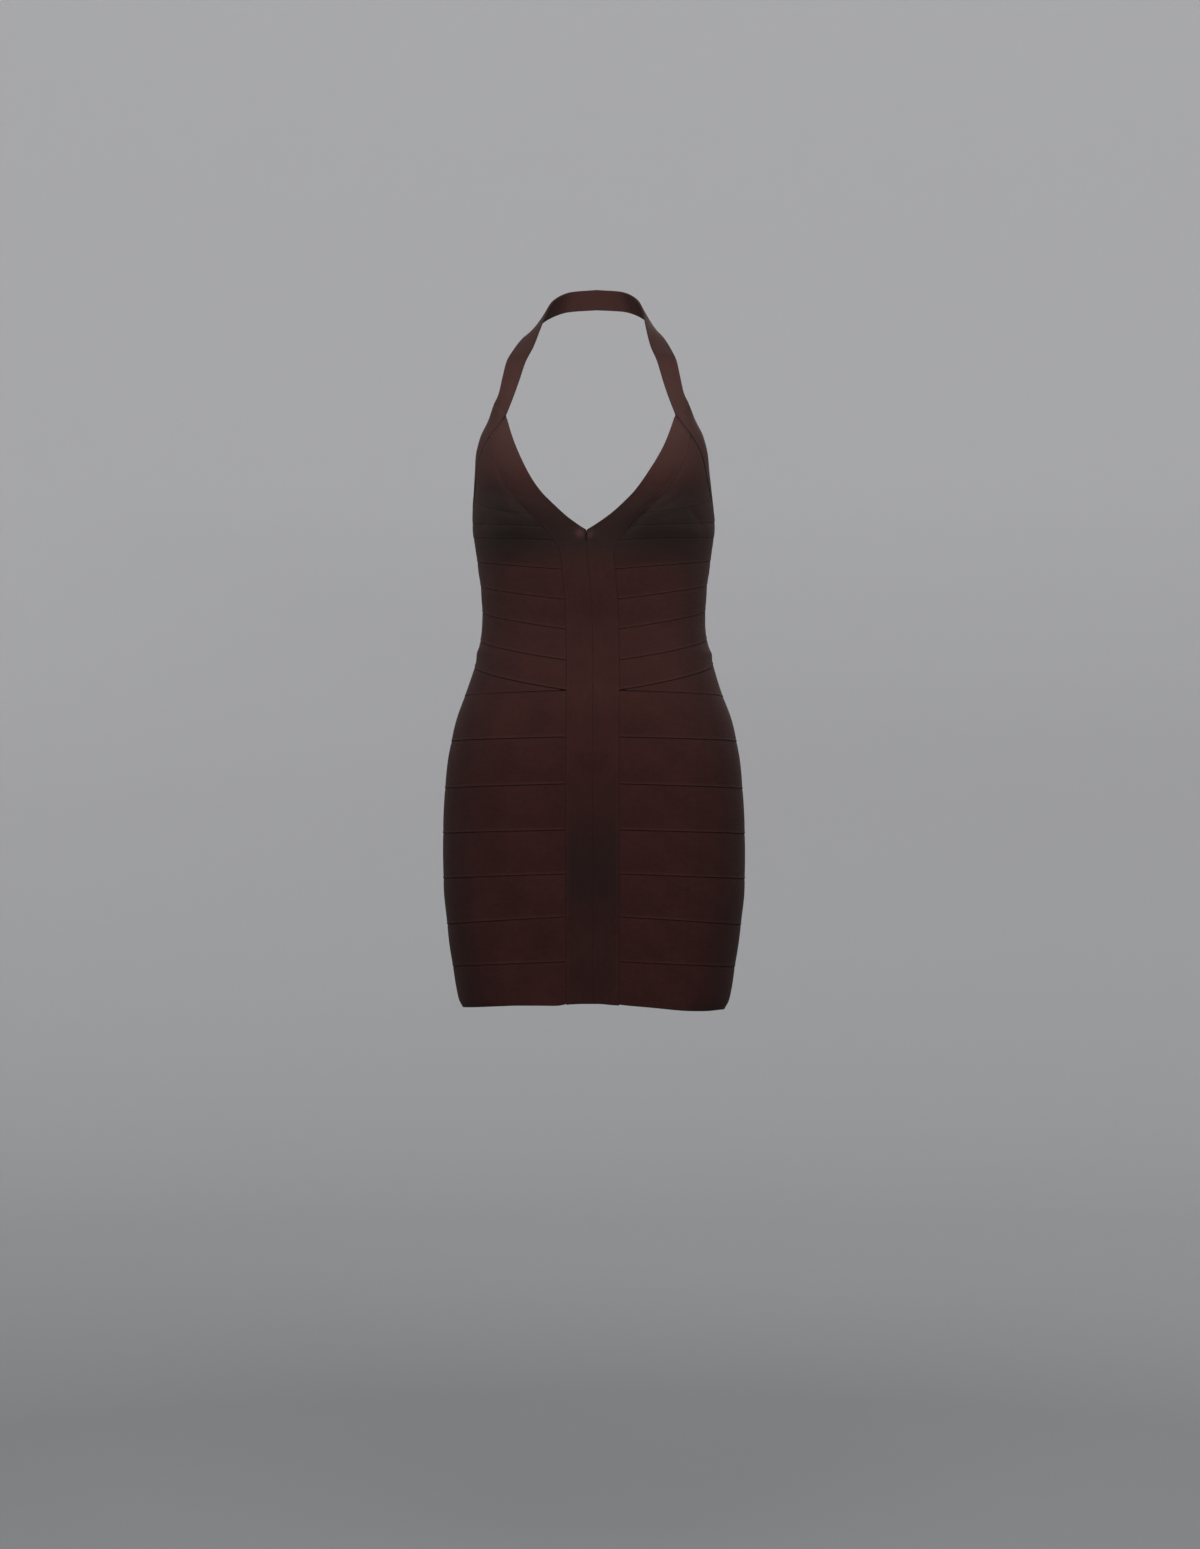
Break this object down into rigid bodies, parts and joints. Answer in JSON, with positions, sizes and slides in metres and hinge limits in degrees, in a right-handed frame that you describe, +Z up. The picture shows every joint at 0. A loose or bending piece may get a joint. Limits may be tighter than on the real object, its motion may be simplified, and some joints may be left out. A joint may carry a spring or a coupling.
{
  "type": "halter bodycon dress",
  "caption": "Close-fitting thigh-length halter dress with a deep V neck, sewn from horizontal knit bands, as a hollow worn form open at neck, back, armholes and hem.",
  "frame": {"origin": "the middle of the halter strap's inner face where it rests on the back of the wearer's neck", "axes": "+Z up the standing wearer, -Y out of the front of the dress, +X to the right as the front is looked at"},
  "size_m": [0.3212, 0.2404, 0.7719],
  "materials": {
    "band_knit": "dense matte ribbed bandage knit, very dark brown with a faint soft sheen at grazing angles"
  },
  "bodies": {
    "root": {"under_cup_band": "band_knit", "bodice_band_1": "band_knit", "bodice_band_2": "band_knit", "bodice_band_3": "band_knit", "bodice_band_4": "band_knit", "bodice_band_5": "band_knit", "hip_wedge_band": "band_knit", "skirt_band_1": "band_knit", "skirt_band_2": "band_knit", "skirt_band_3": "band_knit", "skirt_band_4": "band_knit", "skirt_band_5": "band_knit", "skirt_band_6": "band_knit", "skirt_band_7": "band_knit", "upper_bust_band_left": "band_knit", "upper_bust_band_right": "band_knit", "cup_left": "band_knit", "cup_right": "band_knit", "neck_front_band_left": "band_knit", "neck_front_band_right": "band_knit", "halter_strap": "band_knit"}
  },
  "joints": []
}
